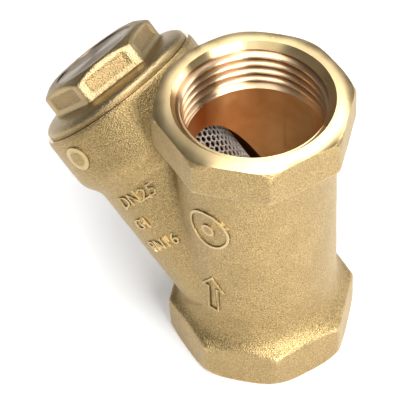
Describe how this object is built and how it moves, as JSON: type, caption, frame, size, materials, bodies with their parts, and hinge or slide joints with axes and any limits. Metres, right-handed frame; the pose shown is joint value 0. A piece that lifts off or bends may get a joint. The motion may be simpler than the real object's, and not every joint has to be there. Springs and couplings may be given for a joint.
{
  "type": "y-strainer",
  "caption": "Brass Y-strainer with an octagonal threaded socket at each end and a perforated screen held in its 45-degree branch by a screwed hex cap.",
  "frame": {"origin": "centre of the bounding box, on the plane of the inlet face", "axes": "+Z along the run's axis from the inlet to the outlet, +X away from the branch, in the plane that holds both axes"},
  "size_m": [0.077, 0.0442, 0.0735],
  "materials": {
    "cast_brass": "blasted casting, bright where machined",
    "cap_brass": "blasted casting, polished edges",
    "gasket_fibre": "matt pressed fibre",
    "screen_steel": "bright perforated sheet"
  },
  "bodies": {
    "housing": {"body": "cast_brass"},
    "carrier": {"cap_gasket": "gasket_fibre", "screen": "screen_steel"},
    "cap": {"cap": "cap_brass"}
  },
  "joints": [
    {"name": "cap_lift", "type": "slide", "parent": "housing", "child": "carrier", "axis": [-0.7071, 0, 0.7071], "range_m": [0, 0.0075]},
    {"name": "cap_turn", "type": "hinge", "parent": "carrier", "child": "cap", "pos_m": [0.01636, 0, 0.017], "axis": [-0.7071, 0, 0.7071], "range_deg": [0, 1800]}
  ],
  "couplings": [
    {"joint": "cap_turn", "follows": "cap_lift", "rad_per_m": 4188.8}
  ]
}
